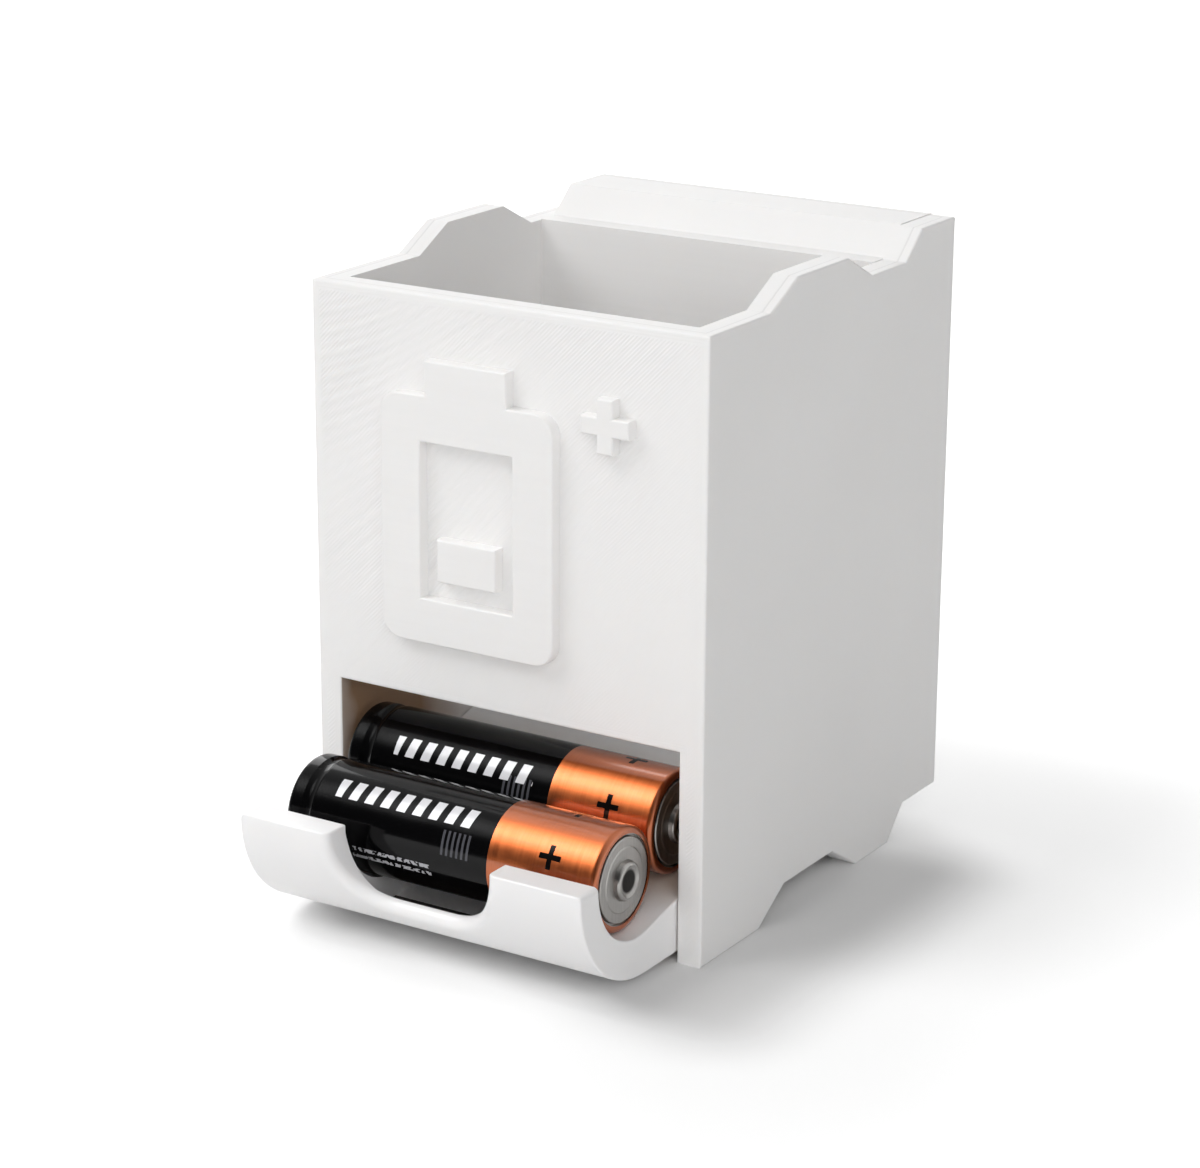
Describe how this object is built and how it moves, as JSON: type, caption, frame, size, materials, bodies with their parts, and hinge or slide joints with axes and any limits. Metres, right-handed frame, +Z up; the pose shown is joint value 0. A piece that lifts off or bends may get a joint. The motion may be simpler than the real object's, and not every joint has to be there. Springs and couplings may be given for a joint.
{
  "type": "battery storage drawer case",
  "caption": "Stacking printed case for AA cells, open at the top, with a pull-out drawer whose curved cup serves the cells at the foot of the front.",
  "frame": {"origin": "middle of the bounding box's base, on the surface that the feet stand on", "axes": "+X to the case's right as seen from the front, +Y to its back, +Z up; the drawer opens towards -Y"},
  "size_m": [0.062, 0.0914, 0.0898],
  "materials": {
    "printed_pla": "white PLA as printed, satin, with fine tool-path lines",
    "printed_pla_smooth": "white PLA, smoother satin print",
    "label_film": "glossy printed film, black with a copper-coloured metallic band at the positive end",
    "nickel_steel": "nickel-plated drawn steel, satin",
    "nylon": "natural nylon",
    "brass": "drawn brass wire",
    "cathode_mix": "pressed black powder",
    "separator_paper": "non-woven paper",
    "zinc_gel": "grey gel"
  },
  "bodies": {
    "case": {"case_body": "printed_pla"},
    "drawer": {"drawer_tray": "printed_pla_smooth"},
    "front_cell": {"front_cell_can": "nickel_steel", "front_cell_label_film": "label_film", "front_cell_negative_cover": "nickel_steel", "front_cell_seal": "nylon", "front_cell_support_washer": "nickel_steel", "front_cell_collector_nail": "brass", "front_cell_cathode_rings": "cathode_mix", "front_cell_separator": "separator_paper", "front_cell_anode_gel": "zinc_gel"},
    "rear_cell": {"rear_cell_can": "nickel_steel", "rear_cell_label_film": "label_film", "rear_cell_negative_cover": "nickel_steel", "rear_cell_seal": "nylon", "rear_cell_support_washer": "nickel_steel", "rear_cell_collector_nail": "brass", "rear_cell_cathode_rings": "cathode_mix", "rear_cell_separator": "separator_paper", "rear_cell_anode_gel": "zinc_gel"}
  },
  "joints": [
    {"name": "drawer_slide", "type": "slide", "parent": "case", "child": "drawer", "axis": [0, -1, 0], "range_m": [0, 0.036]},
    {"name": "front_cell_lift", "type": "slide", "parent": "drawer", "child": "front_cell", "axis": [0, -0.2588, 0.9659], "range_m": [0, 0.03]},
    {"name": "rear_cell_roll", "type": "slide", "parent": "drawer", "child": "rear_cell", "axis": [0, 0.9744, 0.225], "range_m": [0, 0.019]}
  ]
}
